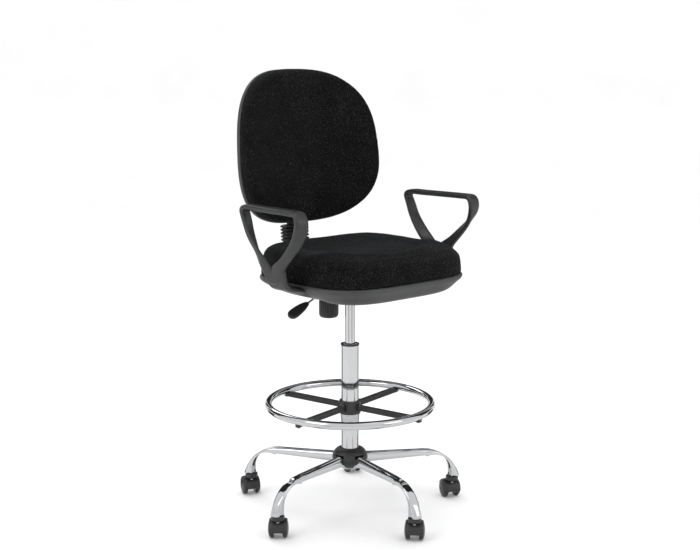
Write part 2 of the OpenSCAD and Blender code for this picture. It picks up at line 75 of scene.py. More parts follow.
class Shader:
    """A Principled material with a short way to add and join nodes."""

    def __init__(self, name):
        self.material = bpy.data.materials.new(name)
        self.material.use_nodes = True
        self.tree = self.material.node_tree
        self.tree.nodes.clear()
        self.out = self.tree.nodes.new("ShaderNodeOutputMaterial")
        self.main = self.tree.nodes.new("ShaderNodeBsdfPrincipled")
        self.join(self.main, "BSDF", self.out, "Surface")
        self.place = self.node("ShaderNodeTexCoord")

    def node(self, kind, **settings):
        made = self.tree.nodes.new(kind)
        for key, value in settings.items():
            setattr(made, key, value)
        return made

    def join(self, source, output, target, socket):
        self.tree.links.new(source.outputs[output], target.inputs[socket])

    def set(self, **sockets):
        for name, value in sockets.items():
            self.main.inputs[name.replace("_", " ")].default_value = value

    def mapped(self, scale, turn=(0, 0, 0)):
        made = self.node("ShaderNodeMapping")
        made.inputs["Scale"].default_value = scale
        made.inputs["Rotation"].default_value = turn
        self.join(self.place, "Object", made, "Vector")
        return made

    def noise(self, scale, detail=3.0, roughness=0.5, source=None):
        made = self.node("ShaderNodeTexNoise")
        made.inputs["Scale"].default_value = scale
        made.inputs["Detail"].default_value = detail
        made.inputs["Roughness"].default_value = roughness
        if source:
            self.join(source, "Vector", made, "Vector")
        else:
            self.join(self.place, "Object", made, "Vector")
        return made

    def ramp(self, source, output, stops):
        made = self.node("ShaderNodeValToRGB")
        band = made.color_ramp
        while len(band.elements) < len(stops):
            band.elements.new(0.5)
        for element, (at, colour) in zip(band.elements, stops):
            element.position = at
            element.color = colour if len(colour) == 4 else (*colour, 1)
        self.join(source, output, made, "Fac")
        return made

    def math(self, operation, a, b):
        made = self.node("ShaderNodeMath", operation=operation)
        for socket, value in zip(made.inputs, (a, b)):
            if isinstance(value, tuple):
                self.tree.links.new(value[0].outputs[value[1]], socket)
            else:
                socket.default_value = value
        return made

    def bump(self, source, output, height, strength=1.0, after=None):
        made = self.node("ShaderNodeBump")
        made.inputs["Distance"].default_value = height
        made.inputs["Strength"].default_value = strength
        self.join(source, output, made, "Height")
        if after:
            self.join(after, "Normal", made, "Normal")
        return made


def grey(v, tint=0.0):
    return (v, v * (1 + tint / 2), v * (1 + tint), 1)


def woven_fabric(name):
    """Black crepe weave: crossed threads, pale flecks and a soft sheen."""
    m = Shader(name)
    threads = []
    for turn in (0.0, math.pi / 2):
        wave = m.node("ShaderNodeTexWave", wave_type="BANDS", bands_direction="X")
        wave.inputs["Scale"].default_value = 190
        wave.inputs["Distortion"].default_value = 1.6
        wave.inputs["Detail"].default_value = 1.0
        wave.inputs["Detail Scale"].default_value = 2.0
        m.join(m.mapped((1, 1, 1), (turn, 0.6, turn)), "Vector", wave, "Vector")
        threads.append((wave, "Fac"))
    weave = m.math("ADD", *threads)
    flecks = m.noise(400, 2.0, 0.75)
    fleck = m.ramp(flecks, "Fac", [(0.0, grey(0.0025)), (0.50, grey(0.0045, 0.05)),
                                   (0.62, grey(0.013, 0.06)), (0.73, grey(0.080, 0.05))])
    drift = m.noise(14, 3.0)
    patch = m.ramp(drift, "Fac", [(0.3, grey(0.75)), (0.7, grey(1.25))])
    mixed = m.node("ShaderNodeMix", data_type="RGBA", blend_type="MULTIPLY")
    mixed.inputs["Factor"].default_value = 1.0
    m.tree.links.new(fleck.outputs["Color"], mixed.inputs["A"])
    m.tree.links.new(patch.outputs["Color"], mixed.inputs["B"])
    m.tree.links.new(mixed.outputs["Result"], m.main.inputs["Base Color"])
    soft = m.bump(flecks, "Fac", 0.0006, 0.5)
    m.join(m.bump(weave, "Value", 0.00025, 0.6, soft), "Normal", m.main, "Normal")
    m.set(Roughness=0.95, Specular_IOR_Level=0.03, Sheen_Weight=0.035, Sheen_Roughness=0.4)
    m.main.inputs["Sheen Tint"].default_value = (0.8, 0.85, 0.9, 1)
    return m.material


def moulded_plastic(name, value, roughness, tint=0.04, grain=0.00012, scale=900):
    """Moulded plastic with a fine spark-eroded grain and faint mottling."""
    m = Shader(name)
    tone = m.ramp(m.noise(22, 4.0), "Fac", [(0.3, grey(value * 0.88, tint)),
                                            (0.7, grey(value * 1.12, tint))])
    m.join(tone, "Color", m.main, "Base Color")
    fine = m.noise(scale, 2.0, 0.6)
    gloss = m.ramp(fine, "Fac", [(0.3, grey(roughness - 0.06)), (0.7, grey(roughness + 0.06))])
    m.join(gloss, "Color", m.main, "Roughness")
    m.join(m.bump(fine, "Fac", grain, 0.5), "Normal", m.main, "Normal")
    m.set(Specular_IOR_Level=0.45)
    return m.material


def metal(name, value, roughness, brushed=False, tint=0.02):
    """Plated or turned metal: faint cloudiness and fine polishing marks."""
    m = Shader(name)
    tone = m.ramp(m.noise(9, 3.0), "Fac", [(0.3, grey(value * 0.96, tint)), (0.7, grey(value, tint))])
    m.join(tone, "Color", m.main, "Base Color")
    marks = m.noise(1, 3.0, 0.6, m.mapped((60, 60, 2200) if brushed else (420, 420, 420)))
    gloss = m.ramp(marks, "Fac", [(0.3, grey(roughness * 0.7)), (0.7, grey(roughness * 1.3))])
    m.join(gloss, "Color", m.main, "Roughness")
    m.join(m.bump(marks, "Fac", 0.00002, 0.25 if brushed else 0.06), "Normal", m.main, "Normal")
    m.set(Metallic=1.0)
    return m.material


def raw_plywood(name):
    """Bare plywood with stretched growth rings."""
    m = Shader(name)
    rings = m.noise(1, 5.0, 0.6, m.mapped((9, 90, 9)))
    tone = m.ramp(rings, "Fac", [(0.3, (0.42, 0.27, 0.14)), (0.55, (0.60, 0.43, 0.25)),
                                 (0.75, (0.68, 0.52, 0.33))])
    m.join(tone, "Color", m.main, "Base Color")
    m.join(m.bump(rings, "Fac", 0.0003, 0.4), "Normal", m.main, "Normal")
    m.set(Roughness=0.75)
    return m.material


def studio_paper(name):
    """White backdrop paper, very slightly uneven."""
    m = Shader(name)
    tone = m.ramp(m.noise(3, 4.0), "Fac", [(0.3, grey(0.90)), (0.7, grey(0.93))])
    m.join(tone, "Color", m.main, "Base Color")
    m.set(Roughness=0.9, Specular_IOR_Level=0.1)
    return m.material


LOOKS = {
    "chrome": metal("chrome", 0.52, 0.05),
    "bright_steel": metal("bright_steel", 0.42, 0.24, True),
    "satin_metal": metal("satin_metal", 0.44, 0.30, True),
    "black_plastic": moulded_plastic("black_plastic", 0.014, 0.42),
    "white_plastic": moulded_plastic("white_plastic", 0.7, 0.5),
    "black_steel": moulded_plastic("black_steel", 0.012, 0.5, grain=0.0002, scale=500),
    "black_rubber": moulded_plastic("black_rubber", 0.010, 0.55),
    "plywood": raw_plywood("plywood"),
    "grey_plastic": moulded_plastic("grey_plastic", 0.032, 0.48, 0.03),
    "arm_plastic": moulded_plastic("arm_plastic", 0.018, 0.38, 0.05),
    "black_fabric": woven_fabric("black_fabric"),
    "wheel_nylon": moulded_plastic("wheel_nylon", 0.010, 0.32),
    "flag_cloth": moulded_plastic("flag_cloth", 0.02, 0.9),
}
NODE_SLOT = {s["node"]: s["material_slot"] for s in frame["record"]["subparts"]}

for node, part in frame["nodes"].items():
    part.data.materials.clear()
    part.data.materials.append(LOOKS[NODE_SLOT[node]])


# ------------------------------------------------------------------ meshing

def mesh_piece(name, verts, faces):
    data = bpy.data.meshes.new(name)
    data.from_pydata([tuple(v) for v in verts], [], faces)
    made = bpy.data.objects.new(name, data)
    bpy.context.scene.collection.objects.link(made)
    work = bmesh.new()
    work.from_mesh(data)
    bmesh.ops.recalc_face_normals(work, faces=work.faces)
    work.to_mesh(data)
    work.free()
    data.polygons.foreach_set("use_smooth", [True] * len(data.polygons))
    return made


def ring_mesh(rings, looped=False):
    """Vertices and faces of closed rings of points, joined one to the next.
    Unless looped, the first and last ring are closed with a flat face."""
    n = len(rings[0])
    verts = [p for ring in rings for p in ring]
    faces = []
    for i in range(len(rings) if looped else len(rings) - 1):
        a, b = i * n, (i + 1) % len(rings) * n
        faces += [(a + k, a + (k + 1) % n, b + (k + 1) % n, b + k) for k in range(n)]
    if not looped:
        faces += [tuple(range(n)), tuple(range(len(verts) - n, len(verts)))]
    return verts, faces


def turned(profile, n, centre=Vector()):
    """Rings of a shape turned about Z, from (radius, height) pairs."""
    return [[centre + Vector((r * math.cos(2 * math.pi * k / n), r * math.sin(2 * math.pi * k / n), z))
             for k in range(n)] for r, z in profile]


def joined(*parts):
    """One list of vertices and one of faces from several."""
    verts, faces = [], []
    for more_verts, more_faces in parts:
        start = len(verts)
        verts += list(more_verts)
        faces += [tuple(start + i for i in face) for face in more_faces]
    return verts, faces


def stands_for(made, *nodes):
    """The piece replaces these CAD nodes and takes their material."""
    made.data.materials.clear()
    made.data.materials.append(LOOKS[NODE_SLOT[nodes[0]]])
    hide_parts(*nodes)


def apply_modifiers(made):
    graph = bpy.context.evaluated_depsgraph_get()
    graph.update()
    data = bpy.data.meshes.new_from_object(made.evaluated_get(graph))
    made.modifiers.clear()
    old, made.data = made.data, data
    bpy.data.meshes.remove(old)
    data.polygons.foreach_set("use_smooth", [True] * len(data.polygons))


def remesh(made, voxel, smoothing):
    step = made.modifiers.new("remesh", "REMESH")
    step.mode = "VOXEL"
    step.voxel_size = voxel
    soft = made.modifiers.new("smooth", "SMOOTH")
    soft.factor = 0.5
    soft.iterations = smoothing
    apply_modifiers(made)


PAD_VOXEL = 0.006
CLOTH_FRAMES = 20
EVENING_PASSES = 24


def evened(data, moves, fixed):
    """Averages the points' moves over their neighbours, which takes out the
    cloth's small puckers. The fixed points stay still."""
    pairs = [tuple(edge.vertices) for edge in data.edges]
    for _ in range(EVENING_PASSES):
        sums, counts = [move.copy() for move in moves], [1] * len(moves)
        for a, b in pairs:
            sums[a] += moves[b]
            sums[b] += moves[a]
            counts[a] += 1
            counts[b] += 1
        moves = [total / count for total, count in zip(sums, counts)]
        for i in fixed:
            moves[i] = Vector()
    return moves


def stuffed(made, cap, held):
    """Swells a pad with cloth pressure, moving no point by more than cap.
    held(point) says whether a point stays where it is."""
    remesh(made, PAD_VOXEL, 3)
    data = made.data
    fixed = [v.index for v in data.vertices if held(v.co)]
    group = made.vertex_groups.new(name="held")
    group.add(fixed, 1.0, "REPLACE")
    start = [v.co.copy() for v in data.vertices]
    cloth = made.modifiers.new("cloth", "CLOTH")
    cloth.settings.quality = 6
    cloth.settings.mass = 0.4
    cloth.settings.tension_stiffness = 25
    cloth.settings.compression_stiffness = 25
    cloth.settings.bending_stiffness = 4
    cloth.settings.use_pressure = True
    cloth.settings.uniform_pressure_force = 4
    cloth.settings.effector_weights.gravity = 0
    cloth.settings.vertex_group_mass = "held"
    cloth.point_cache.frame_start = 1
    cloth.point_cache.frame_end = CLOTH_FRAMES
    for step in range(1, CLOTH_FRAMES + 1):
        bpy.context.scene.frame_set(step)
    graph = bpy.context.evaluated_depsgraph_get()
    swollen = [v.co.copy() for v in made.evaluated_get(graph).data.vertices]
    made.modifiers.remove(cloth)
    bpy.context.scene.frame_set(1)
    moves = [new - old for new, old in zip(swollen, start)]
    moves = [move * min(1.0, cap / max(move.length, 1e-9)) for move in moves]
    for vertex, old, move in zip(data.vertices, start, evened(data, moves, fixed)):
        vertex.co = old + move


def subdivided(made):
    step = made.modifiers.new("subdivision", "SUBSURF")
    step.levels = step.render_levels = 1


# Outlines, as the CAD draws them
SEAT_A, SEAT_B, SEAT_Y, SEAT_POWER = 0.255, 0.222, -0.047, 3.9
BACK_A, BACK_B, BACK_POWER, BACK_EGG = 0.244, 0.2225, 2.73, 0.069
BACK_WRAP, BACK_LEAN = 0.550, math.radians(4.4)
BACK_PLACE = Vector((0, 0.2165, 1.0205))
BACK_TURN = Matrix.Rotation(-BACK_LEAN, 3, "X")
BACK_POINTS = 132
BAR_Y = 0.039   # the back bar's middle, in the backrest's own axes


def oval(a, b, power, egg=0.0, n=120):
    """(x, y) points of a superellipse, widened towards -y by egg."""
    points = []
    for i in range(n):
        c, s = math.cos(2 * math.pi * i / n), math.sin(2 * math.pi * i / n)
        x = math.copysign(abs(c) ** (2 / power), c)
        y = math.copysign(abs(s) ** (2 / power), s)
        points.append((a * x * (1 - egg * y), b * y))
    return points


# -------------------------------------------------------------------- seat

def seat_ring(inset, z, forward=0.0):
    return [Vector((x, y + SEAT_Y - forward, z))
            for x, y in oval(SEAT_A - inset, SEAT_B - inset, SEAT_POWER)]


def seat_cushion():
    """Waterfall front roll with a shallow dished place behind its crease."""
    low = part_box("seat_cushion")[0].z
    rise, crown_inset, innermost, crown_rings = 0.0765, 0.060, 0.205, 8
    shoulder, full_shape = low + 0.045, low + 0.072   # the heights between which the shaping fades in
    crease_middle, crease_bow, roll_width = -0.158, 2.1, 0.020
    dish_depth, roll_height, side_lift, front_fall = 0.0110, 0.0035, 0.007, 0.007
    profile = [(0.026, 0.0), (0.020, -0.002), (0.0095, -0.0015), (0.0065, 0.008), (0.006, 0.020),
               (0.006, 0.034), (0.007, 0.049), (0.011, 0.061), (0.019, 0.0695), (0.032, 0.0745),
               (crown_inset, rise)]
    rings = [seat_ring(inset, low + up) for inset, up in profile]
    rings += [seat_ring(lerp(crown_inset, innermost, t / crown_rings), low + rise + 0.001)
              for t in range(1, crown_rings + 1)]
    made = mesh_piece("seat_cushion_pad", *ring_mesh(rings))
    stuffed(made, 0.006, lambda p: p.z < low + 0.004)
    for vertex in made.data.vertices:
        p = vertex.co
        if p.z < shoulder:
            continue
        x, y = p.x, p.y - SEAT_Y
        top = smoothstep(shoulder, full_shape, p.z)
        # the dish ends at a crease that curves forward in the middle
        crease = crease_middle + crease_bow * x * x
        behind = smoothstep(crease - 0.004, crease + 0.040, y)
        across = 1 - smoothstep(0.15, 0.25, abs(x))
        back = 1 - smoothstep(0.02, 0.17, y)
        dish = dish_depth * behind * across * back
        roll = roll_height * math.exp(-((y - crease) / roll_width) ** 2) * across
        beside = smoothstep(0.12, 0.21, abs(x)) * smoothstep(-0.17, -0.05, y)
        lift = side_lift * max(smoothstep(0.0, 0.16, y), beside)
        fall = front_fall * (1 - smoothstep(-0.20, -0.06, y))
        p.z += top * (roll + lift - dish - fall)
    subdivided(made)
    stands_for(made, "seat_cushion")
    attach(made, "seat_unit")


def seat_shell():
    """Moulded bowl under the cushion, with a rolled rim."""
    low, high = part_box("seat_shell")
    wall, bowl_forward, front_hang = 0.0032, 0.014, 0.0045
    flat_edge, flat_middle = 0.140, 0.190
    outer = [(0.0080, high.z + 0.0025), (0.0052, high.z + 0.001), (0.0042, high.z - 0.003),
             (0.0052, high.z - 0.008), (0.0090, high.z - 0.0125), (0.016, high.z - 0.0180),
             (0.027, high.z - 0.0255), (0.040, high.z - 0.0335), (0.052, high.z - 0.0392),
             (0.064, low.z + 0.0005), (0.084, low.z)]

    def forward(z):
        return bowl_forward * smoothstep(high.z - 0.012, low.z, z)

    rings = [seat_ring(flat_middle, low.z + 0.0001), seat_ring(flat_edge, low.z)]
    rings += [seat_ring(inset, z, forward(z)) for inset, z in reversed(outer)]
    rings += [seat_ring(inset + wall, z + (0 if i == 0 else wall * 0.6), forward(z))
              for i, (inset, z) in enumerate(outer)]
    rings += [seat_ring(flat_edge, low.z + wall), seat_ring(flat_middle, low.z + wall)]
    for ring in rings:
        for point in ring:
            # the bowl hangs lower in front of the mechanism's plate
            under = smoothstep(high.z - 0.016, low.z + 0.004, point.z)
            in_front = 1 - smoothstep(-0.15, -0.10, point.y)
            point.z -= front_hang * under * in_front
    made = mesh_piece("seat_shell_moulded", *ring_mesh(rings))
    subdivided(made)
    stands_for(made, "seat_shell")
    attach(made, "seat_unit")


# -------------------------------------------------------------------- back

def back_point(x, z, radius):
    """A point of the wrapped backrest, from its outline's x and z."""
    y = -BACK_WRAP + math.sqrt(radius * radius - x * x)
    return BACK_PLACE + BACK_TURN @ Vector((x, y, z))


def back_ring(inset, radius, scale=1.0):
    return [back_point(x * scale, z * scale, radius)
            for x, z in oval(BACK_A - inset, BACK_B - inset, BACK_POWER, BACK_EGG, BACK_POINTS)]


def back_cushion():
    """Crowned pad on the wrapped board, its edge pulled in at the rear."""
    front, rear = BACK_WRAP - 0.031, BACK_WRAP + 0.017
    profile = [(0.012, rear - 0.0004), (0.0055, rear - 0.0015), (0.0035, rear - 0.006),
               (0.0025, rear - 0.014), (0.003, front + 0.022), (0.0045, front + 0.014),
               (0.009, front + 0.007), (0.017, front + 0.0025), (0.030, front + 0.0005)]
    rings = [back_ring(0, rear - 0.0004, s) for s in (0.15, 0.4, 0.65, 0.85)]
    rings += [back_ring(inset, radius) for inset, radius in profile]
    rings += [back_ring(0.030, front, s) for s in (0.9, 0.75, 0.6, 0.45, 0.3, 0.15)]
    made = mesh_piece("back_cushion_pad", *ring_mesh(rings))
    upright = Matrix.Rotation(BACK_LEAN, 3, "X")

    def against_board(p):
        q = upright @ (p - BACK_PLACE)
        return math.hypot(q.x, q.y + BACK_WRAP) > rear - 0.004

    stuffed(made, 0.004, against_board)
    subdivided(made)
    stands_for(made, "back_cushion")
    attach(made, "backrest")


def back_shell():
    """Rear cover: wrapped skin with a soft-edged channel over the bar."""
    inner_r, rear = BACK_WRAP + 0.0155, BACK_WRAP + 0.031
    channel_top, channel_depth = -0.006, 0.0545
    wall, skin_inset = 0.0028, 0.0085

    def skin(radius, scale, depth):
        ring = []
        for x, z in oval(BACK_A - skin_inset, BACK_B - skin_inset, BACK_POWER, BACK_EGG, BACK_POINTS):
            x, z = x * scale, z * scale
            surface = math.sqrt(radius * radius - x * x) - BACK_WRAP
            side = 1 - smoothstep(0.036, 0.060, abs(x))
            top = 1 - smoothstep(channel_top - 0.05, channel_top + 0.03, z)
            rim = 1 - smoothstep(0.94, 0.99, scale)
            bulge = max(0.0, channel_depth - depth - surface) * side * top
            ring.append(BACK_PLACE + BACK_TURN @ Vector((x, surface + bulge * rim, z)))
        return ring

    scales = [0.985, 0.96, 0.93, 0.89, 0.84, 0.78, 0.71, 0.63,
              0.55, 0.47, 0.39, 0.31, 0.24, 0.17, 0.10, 0.05]
    rings = [skin(rear - wall, s, wall) for s in reversed(scales)]
    rings += [back_ring(0.0105, rear - 0.006), back_ring(0.0100, inner_r), back_ring(0.0062, inner_r),
              back_ring(0.0046, inner_r + 0.0012), back_ring(0.0040, rear - 0.006),
              back_ring(0.0054, rear - 0.0025), back_ring(0.0105, rear - 0.0004)]
    rings += [skin(rear, s, 0.0) for s in scales]
    made = mesh_piece("back_shell_moulded", *ring_mesh(rings))
    subdivided(made)
    stands_for(made, "back_shell")
    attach(made, "backrest")


def bellows():
    """Rubber gaiter round the bar, built at one fixed length; on the chair it stretches when the back is
    raised.
    """
    low, high = -0.330, -0.2235
    folds, steps = 11, 12
    wave_x, wave_y, wall = (0.0375, 0.0445), (0.0175, 0.0245), 0.003

    def ring(z, out, inset=0.0):
        a = lerp(*wave_x, out) - inset
        b = lerp(*wave_y, out) - inset
        return [BACK_PLACE + BACK_TURN @ Vector((x, y + BAR_Y, z)) for x, y in oval(a, b, 3.2, n=64)]

    outer = []
    for i in range(folds * steps + 1):
        phase = i / steps % 1.0
        out = abs(math.sin(math.pi * phase)) ** 0.75
        outer.append(ring(lerp(low, high, i / (folds * steps)), out))
    inner = [ring(high, 0, wall), ring(low, 0, wall)]
    made = mesh_piece("bellows_folded", *ring_mesh(outer + inner, looped=True))
    stands_for(made, "bellows")
    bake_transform(made)


# -------------------------------------------------------------------- arms

def strap(stations, looped=False):
    """A flat bar with rounded edges along stations of
    (centre, width direction, normal direction, width, thickness)."""
    rings = []
    count, steps = len(stations), 6

    def at(i):
        return stations[i % count] if looped else stations[max(0, min(count - 1, i))]

    for i in range(count if looped else count - 1):
        four = [at(i - 1), at(i), at(i + 1), at(i + 2)]
        for k in range(steps + (0 if looped or i < count - 2 else 1)):
            t = k / steps
            # a Catmull-Rom curve through each of a station's five values
            blended = []
            for field in range(5):
                a, b, c, d = (s[field] for s in four)
                blended.append(0.5 * ((2 * b) + (c - a) * t + (2 * a - 5 * b + 4 * c - d) * t * t
                                      + (3 * b - a - 3 * c + d) * t ** 3))
            centre, across, normal, width, thick = blended
            across = across.normalized()
            normal = (normal - across * normal.dot(across)).normalized()
            rings.append([centre + across * x + normal * y
                          for x, y in oval(width / 2, thick / 2, 5.0, n=28)])
    return ring_mesh(rings, looped)


def arm(side):
    """Loop arm: a flat rest whose ends turn down and twist into a broad
    foot that curves under the seat. side is 1 on +X and -1 on -X."""
    toe, middle_x, middle_y = math.tan(math.radians(3.3)), 0.312, -0.045

    def station(y, z, width, thick, twist, tangent, sunk=0.0):
        # tangent is the direction of travel in the loop's plane, in degrees
        x = middle_x - (y - middle_y) * toe - sunk
        run = Vector((0, math.cos(math.radians(tangent)), math.sin(math.radians(tangent))))
        inward = Vector((0, -run.z, run.y))
        turn = math.radians(twist)
        across = Vector((math.cos(turn), 0, 0)) + inward * math.sin(turn)
        normal = Vector((-math.sin(turn), 0, 0)) + inward * math.cos(turn)
        return (Vector((side * x, y, z)), Vector((side * across.x, across.y, across.z)),
                Vector((side * normal.x, normal.y, normal.z)), width, thick)

    loop = strap([
        station(-0.034, 0.714, 0.034, 0.013, 88, 40, 0.001),
        station(-0.009, 0.737, 0.034, 0.013, 76, 50),
        station(0.022, 0.769, 0.033, 0.013, 50, 54),
        station(0.050, 0.808, 0.031, 0.013, 22, 66),
        station(0.068, 0.848, 0.031, 0.014, 6, 78),
        station(0.0765, 0.872, 0.031, 0.014, 0, 108),
        station(0.060, 0.8815, 0.032, 0.0145, 0, 178),
        station(0.010, 0.8815, 0.034, 0.0145, 0, 180),
        station(-0.060, 0.8815, 0.035, 0.0145, 0, 180),
        station(-0.130, 0.8812, 0.035, 0.0145, 0, 180),
        station(-0.158, 0.879, 0.037, 0.015, 0, 196),
        station(-0.1685, 0.862, 0.039, 0.015, 4, 262),
        station(-0.1655, 0.836, 0.038, 0.015, 14, 280),
        station(-0.1480, 0.806, 0.031, 0.014, 36, 298),
        station(-0.1160, 0.7730, 0.028, 0.013, 64, 308),
        station(-0.0905, 0.7490, 0.030, 0.013, 78, 312),
        station(-0.0720, 0.7310, 0.042, 0.013, 86, 312),
        station(-0.0540, 0.7140, 0.046, 0.013, 90, 336, 0.001),
    ], looped=True)

    def foot(x, y, z, width, thick, slope):
        # slope turns the plate from upright (90) to lying under the seat (0)
        turn = math.radians(slope)
        return (Vector((side * x, y, z)), Vector((0, 1, 0)),
                Vector((side * math.sin(turn), 0, -math.cos(turn))), width, thick)

    base = strap([
        foot(0.3118, -0.0530, 0.7260, 0.090, 0.013, 90),
        foot(0.3108, -0.0545, 0.7150, 0.088, 0.014, 87),
        foot(0.3070, -0.0585, 0.6990, 0.078, 0.016, 72),
        foot(0.2975, -0.0595, 0.6845, 0.076, 0.0175, 44),
        foot(0.2800, -0.0590, 0.6758, 0.078, 0.0130, 16),
        foot(0.2600, -0.0590, 0.6722, 0.078, 0.0090, 12),
        foot(0.2400, -0.0590, 0.6675, 0.078, 0.0070, 8),
        foot(0.2200, -0.0590, 0.6665, 0.078, 0.0070, 0),
        foot(0.1200, -0.0590, 0.6665, 0.078, 0.0070, 0),
    ])
    name = "left" if side > 0 else "right"
    made = mesh_piece(f"arm_{name}_moulded", *joined(loop, base))
    remesh(made, 0.0024, 5)
    stands_for(made, f"arm_{name}")
    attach(made, "seat_unit")


# ---------------------------------------------------------------- controls

def lever_paddle():
    """Leaf-shaped grip moulded on the lever's end."""
    pivot, slope, roll = Vector((-0.118, 0, 0.630)), math.radians(24), math.radians(40)
    run = Vector((-math.cos(slope), 0, -math.sin(slope)))
    rise = Vector((-math.sin(slope), 0, math.cos(slope)))
    front = Vector((0, -1, 0))
    up = rise * math.cos(roll) + front * math.sin(roll)
    side = rise * math.sin(roll) - front * math.cos(roll)
    shape = [(0.0385, 0.0030, 0.0030), (0.040, 0.0054, 0.0048), (0.046, 0.0076, 0.0054),
             (0.056, 0.0108, 0.0054), (0.068, 0.0130, 0.0052), (0.084, 0.0145, 0.0050),
             (0.097, 0.0147, 0.0050), (0.105, 0.0128, 0.0048), (0.1100, 0.0085, 0.0042),
             (0.1125, 0.0025, 0.0020)]
    hollow, hollow_turn = 0.0006, 300   # the grip is slightly hollow along its middle
    rings = [[pivot + run * along + side * x + up * (z - hollow * math.cos(x * hollow_turn))
              for x, z in oval(wide, thick, 3.2, n=32)] for along, wide, thick in shape]
    made = mesh_piece("lever_paddle_moulded", *ring_mesh(rings))
    subdivided(made)
    stands_for(made, "lever_paddle")
    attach(made, "height_lever")


def tension_knob():
    """Turned grip with flutes that fade out at its rounded foot."""
    low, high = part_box("tension_knob")
    cx, cy = (low.x + high.x) / 2, (low.y + high.y) / 2
    radius, height = (high.x - low.x) / 2, high.z - low.z
    flutes, flute_depth, n = 24, 0.0026, 240
    profile = [(0.004, 0.009), (0.0055, 0.0015), (0.010, 0.0003), (radius - 0.010, 0.0),
               (radius - 0.0045, 0.0018), (radius - 0.0014, 0.0055), (radius - 0.0002, 0.010),
               (radius, 0.018), (radius, 0.034), (radius, height - 0.004), (radius - 0.001, height - 0.0015),
               (radius - 0.003, height), (0.010, height), (0.0045, height - 0.001)]
    rings = []
    for r, z in profile:
        depth = flute_depth * smoothstep(0.004, 0.014, z) * (1 if r > radius - 0.004 else 0)
        ring = []
        for k in range(n):
            angle = 2 * math.pi * k / n
            cut = r - depth * max(0.0, math.cos(flutes * angle)) ** 1.5
            ring.append(Vector((cx + cut * math.cos(angle), cy + cut * math.sin(angle), low.z + z)))
        rings.append(ring)
    made = mesh_piece("tension_knob_fluted", *ring_mesh(rings))
    stands_for(made, "tension_knob")
    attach(made, "tension_knob")


# -------------------------------------------------------------------- base

LEG_ANGLES = [math.radians(45 + 72 * i) for i in range(5)]
BEND_PLACE, BEND_R = (0.212, 0.034), 0.122
BEND_FROM, BEND_TO = math.radians(87.6), math.radians(15.94)
LOW_PLACE, LOW_R = (0.248, 0.085), 0.053   # the bend of the channel's lower edge
LOW_SHARE = 0.84                           # how far along the bend its straight end starts


def on_arc(place, radius, angle):
    return (place[0] + radius * math.cos(angle), place[1] + radius * math.sin(angle))


def leg_rings(angle):
    """Sections of a pressed channel with rolled top corners, from the hub
    out, round the bend and down to the caster."""
    leg_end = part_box("base_star")[0].z
    root_r, straight_steps, bend_steps = 0.0245, 8, 20
    pairs = []
    start = on_arc(BEND_PLACE, BEND_R, BEND_FROM)
    for k in range(straight_steps + 1):
        t = k / straight_steps
        r = lerp(root_r, start[0], t)
        top = start[1] + (start[0] - r) * math.tan(math.pi / 2 - BEND_FROM)
        low_t = smoothstep(0, 1, t)
        pairs.append(((r, top), (lerp(r, 0.221, t ** 4), lerp(0.1355, 0.138, low_t))))
    for k in range(1, bend_steps + 1):
        t = k / bend_steps
        outer = on_arc(BEND_PLACE, BEND_R, lerp(BEND_FROM, BEND_TO, t))
        if t < LOW_SHARE:
            inner = on_arc(LOW_PLACE, LOW_R, math.radians(120 * (1 - t / LOW_SHARE)))
        else:
            inner = (LOW_PLACE[0] + LOW_R, lerp(LOW_PLACE[1], leg_end, (t - LOW_SHARE) / (1 - LOW_SHARE)))
        pairs.append((outer, inner))
    run = Vector((math.cos(angle), math.sin(angle), 0))
    side = Vector((-run.y, run.x, 0))
    rings = []
    for i, (outer, inner) in enumerate(pairs):
        share = i / (len(pairs) - 1)
        half = lerp(0.0125, 0.0150, smoothstep(0.25, 1.0, share))
        depth = math.hypot(outer[0] - inner[0], outer[1] - inner[1])
        wall, corner = 0.0019, min(0.0120, depth * 0.6)
        down = ((inner[0] - outer[0]) / depth, (inner[1] - outer[1]) / depth)
        shape = []
        for w, r, d in ((half, corner, 0.0), (half - wall, corner - wall, wall)):
            line = [(-w, depth), (-w, lerp(depth, corner, 0.5))]
            line += [(-w + r - r * math.cos(b), d + r - r * math.sin(b))
                     for b in [math.pi / 2 * k / 7 for k in range(8)]]
            line.append(((r - w) / 2, d))
            line += [(-x, v) for x, v in reversed(line)]
            shape += line if d == 0.0 else list(reversed(line))
        rings.append([run * (outer[0] + down[0] * v) + side * u
                      + Vector((0, 0, outer[1] + down[1] * v)) for u, v in shape])
    return rings


def base_star():
    """Five chromed channels on the hub tube."""
    tube = turned([(0.0231, 0.121), (0.0265, 0.121), (0.0270, 0.1215),
                   (0.0270, 0.1715), (0.0265, 0.172), (0.0231, 0.172)], 96)
    legs = [ring_mesh(leg_rings(angle)) for angle in LEG_ANGLES]
    made = mesh_piece("base_star_pressed", *joined(ring_mesh(tube, looped=True), *legs))
    stands_for(made, "base_star")
    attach(made, "base")


# ----------------------------------------------------------------- casters

def lathe(profile, n=96):
    """Rings of a shape turned about X, from (place along it, radius) pairs."""
    return [[Vector((x, r * math.cos(2 * math.pi * k / n), r * math.sin(2 * math.pi * k / n)))
             for k in range(n)] for x, r in profile]


